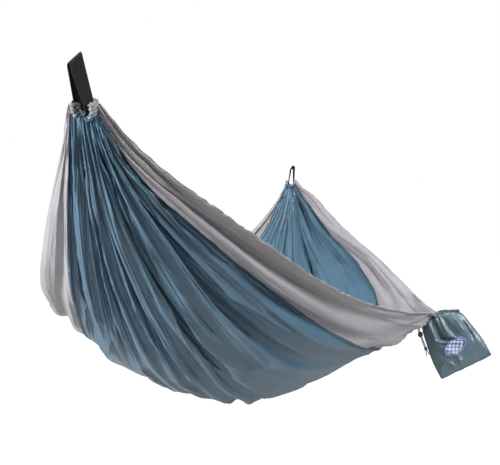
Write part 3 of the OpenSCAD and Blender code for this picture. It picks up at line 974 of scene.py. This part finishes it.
def sack_shell():
    a = round_angles(AROUND)
    v = np.concatenate([np.linspace(-FRILL, 0, FRILL_ROWS + 1)[:-1],
                        np.linspace(0, 1, DOWN + 1 - FRILL_ROWS)])
    V, A = grid(v, a)
    points = on_sack(A, V)
    wrapped = np.concatenate([points[:, -2:], points, points[:, :2]], axis=1)
    normals = grid_normals(wrapped)[:, 2:-2]
    if normals[GIRTH_ROW, AROUND // 4, 0] > 0:
        normals = -normals
    turned = pitched(normals, -SACK_TILT, 0)
    run = run_of(points[GIRTH_ROW])
    half = AROUND // 2
    for name, cols in (("front", np.arange(0, half + 1)), ("back", np.arange(half, AROUND + 1) % AROUND)):
        for part, rows, node in (("body", slice(FRILL_ROWS, DOWN + 1), f"sack_{name}"),
                                 ("frill", slice(0, FRILL_ROWS + 1), "sack_mouth_hem")):
            block = in_sack(points[rows][:, cols])
            facing = np.cross(block[1, 0] - block[0, 0], block[0, 1] - block[0, 0])
            faces = grid_faces(*block.shape[:2], flip=np.dot(facing, turned[rows][0, cols[1]]) < 0)
            obj = add_mesh(f"sack_{part}_{name}", block, faces, SACK,
                           grid_uv((v[rows] + FRILL) * SACK_H, run[cols]), turned[rows][:, cols])
            fit(obj, "sack", "sack_cloth", node)


def edge_binding():
    """The sewn edge down both sides and along the bottom, with its stitches."""
    v = np.linspace(0, 1, 60)
    a = np.linspace(0, np.pi, 60)[1:-1]
    bottom = on_sack(a, 0 * a + 1)
    bottom[:, 2] += 0.0008 * value_noise(np.linspace(0, 14, len(a)), 0 * a + 3, 57)
    path = np.concatenate([on_sack(0 * v, v), bottom, on_sack(0 * v + np.pi, v)[::-1]])
    path[:, 0] = 0
    path = resample(path, 0.0025)
    obj = sweep("sack_edge_binding", in_sack(path), circle(0.0024, 10, 0.55), SACK_DARK, up=X_AXIS)
    fit(obj, "sack", "sack_cloth", "sack_side_seam")
    centre = np.array([0, MOUTH_SHIFT, BODY_TOP - SACK_H * 0.45])
    rows = path + unit(centre - path) * 0.0045
    for face, name in ((-1.0, "front"), (1.0, "back")):
        a, b = dashes(rows + np.array([face * 0.0016, 0, 0]), 0.7)
        obj = threads(f"sack_edge_stitches_{name}", in_sack(a), in_sack(b), face * X_AXIS, 0.0004, THREAD)
        fit(obj, "sack", "thread")


BADGE_W, BADGE_H, BADGE_V = 0.074, 0.043, 0.56
BADGE_TURN = math.radians(-14)
BADGE_SIDES, RIM_SIDES, RIM_STITCHES = 96, 420, 210


def front_at(y, z):
    """Depth of the sack's front at a place in its own frame."""
    v = np.clip((BODY_TOP - z) / SACK_H, 0, 1)
    s = np.clip((y - MOUTH_SHIFT) / half_width(v), -0.999, 0.999)
    return on_sack(np.arccos(s), v)[..., 0]


def badge_points(radius, angle, lift):
    across, up = BADGE_W / 2 * radius * np.cos(angle), BADGE_H / 2 * radius * np.sin(angle)
    across, up = spin(across, up, BADGE_TURN)
    here, inside = ((MOUTH_SHIFT + across * k, BODY_TOP - SACK_H * BADGE_V + up * k) for k in (1, 0.85))
    return xyz(np.minimum(front_at(*here), front_at(*inside)) - lift, *here)


def badge():
    """A generic oval patch: a satin-stitched rim round a pale field with a plain lattice."""
    R, A = grid(np.linspace(0.02, 0.84, 22), round_angles(BADGE_SIDES))
    faces = grid_faces(*R.shape, wrap_cols=True) + [list(range(BADGE_SIDES))[::-1]]
    uv = xyz(R * np.cos(A) * 0.5 + 0.5, R * np.sin(A) * 0.29 + 0.5).reshape(-1, 2)
    obj = add_mesh("badge_field", in_sack(badge_points(R, A, 0.0011)), faces, BADGE_FIELD, uv)
    fit(obj, "sack", "badge", "sack_badge")
    angle = round_angles(RIM_SIDES)
    wave = 0.00022 * np.sin(angle * RIM_STITCHES)
    section = ((0.79, 0.0006), (0.82, 0.0019), (0.88, 0.0026), (0.95, 0.0023), (1.0, 0.0012), (1.0, 0.0))
    rim = np.stack([badge_points(radius, angle, lift + wave * (lift > 0.001)) for radius, lift in section])
    faces = grid_faces(len(section), RIM_SIDES, wrap_cols=True)
    obj = add_mesh("badge_rim", in_sack(rim), faces, BADGE_RIM,
                   grid_uv(np.linspace(0, 0.006, len(section)), angle * 0.03))
    fit(obj, "sack", "badge", "sack_badge")


# The cord: round the mouth, out at the inboard end, and down beside the edge
CORD_R = 0.00125
RING_Z = -0.008
TAIL_Y = 0.0495
TAIL_GAP, TAIL_LEN = 0.0032, 0.062
TAIL_LEAN = math.radians(7.595)


def in_tail(points):
    """From the tails' frame, with -Z down the tails, to the row frame."""
    return in_sack(pitched(points, TAIL_LEAN, [0, TAIL_Y, RING_Z]))


def drawcord():
    """The cord in the mouth, its two tails, and the knot that joins them."""
    a = np.linspace(0, 2 * np.pi, 121)[:-1]
    ring = on_sack(a, 0 * a - 0.022)
    ring[:, 0] *= 0.8
    ring[:, 1] = MOUTH_SHIFT + (ring[:, 1] - MOUTH_SHIFT) * 0.97
    cord = circle(CORD_R, 12)
    obj = sweep("drawcord_in_mouth", in_sack(ring), cord, CORD, closed=True, up=np.array([0.1, 0.2, 1.0]))
    fit(obj, "sack", "cord", "sack_drawcord")
    exit_y = MOUTH_SHIFT + MOUTH_HALF - 0.006 - TAIL_Y
    bend = np.linspace(0, 1, 24) * np.pi / 2
    end = np.linspace(0, 1, 14)[1:]
    for k, side in enumerate((-1, 1)):
        aside = side * TAIL_GAP / 2
        z = 0.004 + 0.002 * side - (0.012 + 0.002 * side) * (1 - np.cos(bend))
        lead = xyz(0.0012 * side * np.sin(bend * 2), exit_y + (aside - exit_y) * np.sin(bend), z)
        run = np.linspace(z[-1] - 0.001, -TAIL_LEN, 50)
        spread = xyz(-0.0015 * side * end, aside + side * 0.0030 * end ** 1.5,
                     -TAIL_LEN - 0.004 - 0.016 * end)
        path = np.concatenate([lead, xyz(0, aside, run), spread])
        fit(sweep(f"drawcord_tail_{k}", in_tail(path), cord, CORD, up=X_AXIS), "sack", "cord")
    t = round_angles(80)
    knot = xyz(0.0024 * np.sin(3 * t), 0.0018 * (np.sin(t) + 2 * np.sin(2 * t)) * 0.75,
               -TAIL_LEN - 0.001 + 0.0017 * (np.cos(t) - 2 * np.cos(2 * t)) * 0.75)
    obj = sweep("drawcord_knot", in_tail(knot), circle(CORD_R * 1.1, 12), CORD, closed=True,
                up=np.array([1.0, 0.3, 0.2]))
    fit(obj, "sack", "cord")


def hanger():
    """The folded tape from the hem into the mouth, with a box of stitches."""
    hem = MIDDLE + HEM_MIDDLES[0] + SACK_PULL
    low = in_sack(np.array([0.0, -0.004, -0.010]))

    def along(share):
        bow = np.array([0, 0.0022, 0]) * np.sin(share * np.pi)
        return hem + np.array([0, 0.002, 0.001]) + (low - hem) * share + bow

    w, t = 0.007, 0.0008
    profile = [(w, t), (w * 1.02, 0), (w, -t), (0, -t * 1.2),
               (-w, -t), (-w * 1.02, 0), (-w, t), (0, t * 1.2)]
    obj = sweep("sack_hanger_tape", along(np.linspace(0, 1, 24)[:, None]), profile, SACK_DARK,
                up=np.array([0, 1.0, 0.2]))
    fit(obj, "right_edge", "sack_cloth", "sack_hanger")
    across = np.linspace(-0.006, 0.005, 8)
    starts = np.array([along(share) + [x, -0.0011, 0] for share in (0.16, 0.24) for x in across])
    obj = threads("sack_hanger_stitches", starts, starts + [0.0011, 0, 0], [0, -1.0, 0], 0.0004, THREAD)
    fit(obj, "right_edge", "thread")


# The cord lock
LOCK_DROP = 0.020
LOCK_R, LOCK_FRONT, LOCK_BACK = 0.007, -0.009, 0.012
PLUNGER_R, PLUNGER_FRONT, PLUNGER_BACK = 0.0046, -0.014, 0.0034
SLOT_TALL, SLOT_SIDES = 0.011, 64
CORNER = 0.0005


def in_lock(points):
    return in_tail(np.asarray(points, float) + np.array([0, 0, -LOCK_DROP]))


def cut(obj, cutter):
    """Takes cutter out of obj for good."""
    mod = obj.modifiers.new("cut", "BOOLEAN")
    mod.operation, mod.object, mod.solver = "DIFFERENCE", cutter, "EXACT"
    deps = bpy.context.evaluated_depsgraph_get()
    mesh = bpy.data.meshes.new_from_object(obj.evaluated_get(deps))
    obj.modifiers.clear()
    obj.data = mesh
    bpy.data.objects.remove(cutter)


def slot_cutter(x0, x1):
    """The rounded slot that both tails run through."""
    w = CORD_R + 0.00015
    a = round_angles(SLOT_SIDES)
    y = np.clip(np.cos(a) * 1.4, -1, 1) * (TAIL_GAP / 2 + w)
    x = np.sin(a) * w
    x = np.where(x > 0, x + x1, x + x0)
    ends = np.concatenate([xyz(x, y, tall) for tall in (-SLOT_TALL, SLOT_TALL)])
    faces = grid_faces(2, SLOT_SIDES, wrap_cols=True)
    faces += [list(range(SLOT_SIDES))[::-1], list(range(SLOT_SIDES, 2 * SLOT_SIDES))]
    return add_mesh("cutter", in_lock(ends), faces, PLASTIC)


def bevelled(points):
    """A closed list of profile corners (x, radius, grip) with each corner cut to a small round."""
    points = np.array(points, float)
    out = []
    for i, p in enumerate(points):
        for other in (points[i - 1], points[(i + 1) % len(points)]):
            d = other[:2] - p[:2]
            q = p.copy()
            q[:2] += d / (np.linalg.norm(d) + 1e-12) * min(CORNER, np.linalg.norm(d) * 0.3)
            out.append(q)
    return np.array(out)


def lock_part(name, corners, material, slot, body, node, sides, ribs=0, depth=0.0):
    """A closed profile turned about the lock's X axis, ribbed where grip is 1, less the slot."""
    a = round_angles(sides)
    x, radius, grip = (bevelled(corners)[:, k:k + 1] for k in range(3))
    radius = radius - depth * grip * (0.5 + 0.5 * np.cos(a * ribs))
    points = xyz(x, radius * np.cos(a), radius * np.sin(a))
    obj = add_mesh(name, in_lock(points), grid_faces(len(x), sides, True, True), material)
    bpy.context.view_layer.update()
    cut(obj, slot_cutter(*slot))
    obj.data.shade_smooth()
    obj.data.set_sharp_from_angle(angle=math.radians(40))
    fit(obj, body, "black_plastic", node)


def cord_lock():
    bore, axis = PLUNGER_R + 0.0001, 0.0002
    lock_part("cord_lock_barrel", [
        (LOCK_FRONT, bore, 0), (LOCK_FRONT, LOCK_R - 0.0002, 0), (LOCK_FRONT + 0.0022, LOCK_R, 0),
        (LOCK_FRONT + 0.0030, LOCK_R - 0.0006, 1), (LOCK_BACK - 0.0040, LOCK_R - 0.0006, 1),
        (LOCK_BACK - 0.0032, LOCK_R, 0), (LOCK_BACK - 0.0012, LOCK_R - 0.0002, 0),
        (LOCK_BACK, LOCK_R - 0.0018, 0), (LOCK_BACK, axis, 0), (LOCK_BACK - 0.002, axis, 0),
        (LOCK_BACK - 0.002, bore, 0)], PLASTIC, (0, 0), "lock", "cord_lock_body", 96, 24, 0.0005)
    # The button's plastic is a little lighter than the barrel's
    lock_part("cord_lock_button", [
        (PLUNGER_BACK, axis, 0), (PLUNGER_BACK, PLUNGER_R, 0), (PLUNGER_FRONT + 0.0012, PLUNGER_R, 0),
        (PLUNGER_FRONT + 0.0003, PLUNGER_R - 0.0008, 0), (PLUNGER_FRONT, PLUNGER_R - 0.002, 0),
        (PLUNGER_FRONT + 0.0004, axis, 0)], PLASTIC_LIGHTER, (-0.004, 0), "plunger", "cord_lock_plunger", 64)
    first, last = PLUNGER_BACK + 0.0005, LOCK_BACK - 0.0025
    turn = np.linspace(0, 1, 140)
    a = 2 * np.pi * 4.5 * turn
    pitch = first + (last - first) * smoothstep(turn, -0.1, 1.1)
    coil = xyz(pitch, 0.0034 * np.cos(a), 0.0034 * np.sin(a))
    obj = sweep("cord_lock_coil", in_lock(coil), circle(0.00034, 8), WIRE, up=X_AXIS)
    fit(obj, "lock", "spring_steel", "cord_lock_spring")
    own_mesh(obj)


for build in (sack_shell, edge_binding, badge, drawcord, hanger, cord_lock):
    build()

# ---- stage, light and camera ----

FLOOR_Z, FLOOR_HALF = -1.7, 60.0
LENS_MM, SENSOR_MM = 57.6, 36.0
CAMERA_AT, CAMERA_HEADING = (-1.2128, -0.5531, -0.2780), 0.212326


def area_light(name, where, target, power, size):
    data = bpy.data.lights.new(name, "AREA")
    data.energy, data.size = power, size
    obj = add_object(name, data)
    obj.location = where
    obj.rotation_euler = (Vector(target) - Vector(where)).to_track_quat("-Z", "Y").to_euler()


def stage():
    """A pale floor and world that the camera sees as white, and three soft lights."""
    pale = Nodes("pale_floor", 0.9, 0.1)
    soft = pale.noise(pale.coords("Object"), 0.8, 3.0)
    pale.colour(soft, (0.3, (0.44, 0.44, 0.44)), (0.7, (0.48, 0.48, 0.48)))
    seen = pale.node("LightPath").outputs["Is Camera Ray"]
    pale.put(pale.bsdf, Emission_Color=(1, 1, 1, 1), Emission_Strength=pale.math("MULTIPLY", seen, 0.96))
    corners = [(x * FLOOR_HALF, y * FLOOR_HALF, FLOOR_Z) for x, y in ((-1, -1), (1, -1), (1, 1), (-1, 1))]
    add_mesh("floor", corners, [[0, 1, 2, 3]], pale.material)
    world = bpy.data.worlds.new("studio")
    SCENE.world = world
    world.use_nodes = True
    tree = world.node_tree
    rays, mix = tree.nodes.new("ShaderNodeLightPath"), tree.nodes.new("ShaderNodeMixShader")
    room, seen = tree.nodes["Background"], tree.nodes.new("ShaderNodeBackground")
    for node, color, strength in ((room, (0.96, 0.98, 1, 1), 0.17), (seen, (1, 1, 1, 1), 1.0)):
        node.inputs[0].default_value, node.inputs[1].default_value = color, strength
    sources = rays.outputs["Is Camera Ray"], room.outputs[0], seen.outputs[0]
    for source, socket in zip(sources, mix.inputs):
        tree.links.new(source, socket)
    tree.links.new(mix.outputs[0], tree.nodes["World Output"].inputs[0])
    centre = MIDDLE + np.array([0, 0, -0.3])
    area_light("key", (-1.7, 1.9, 0.1), centre, 185, 0.8)
    area_light("top", (0.9, -0.6, 2.4), centre, 75, 0.9)
    area_light("fill", (-0.2, -2.5, 0.7), MIDDLE + np.array([0, -0.5, -0.4]), 85, 1.0)


def camera():
    """The viewpoint: level, and a little to the right of the near gather."""
    data = bpy.data.cameras.new("camera")
    data.sensor_width, data.lens = SENSOR_MM, LENS_MM
    obj = add_object("camera", data)
    obj.location = CAMERA_AT
    obj.rotation_euler = (math.pi / 2, 0, CAMERA_HEADING - math.pi / 2)
    SCENE.camera = obj
    SCENE.view_settings.view_transform = "Standard"


stage()
camera()
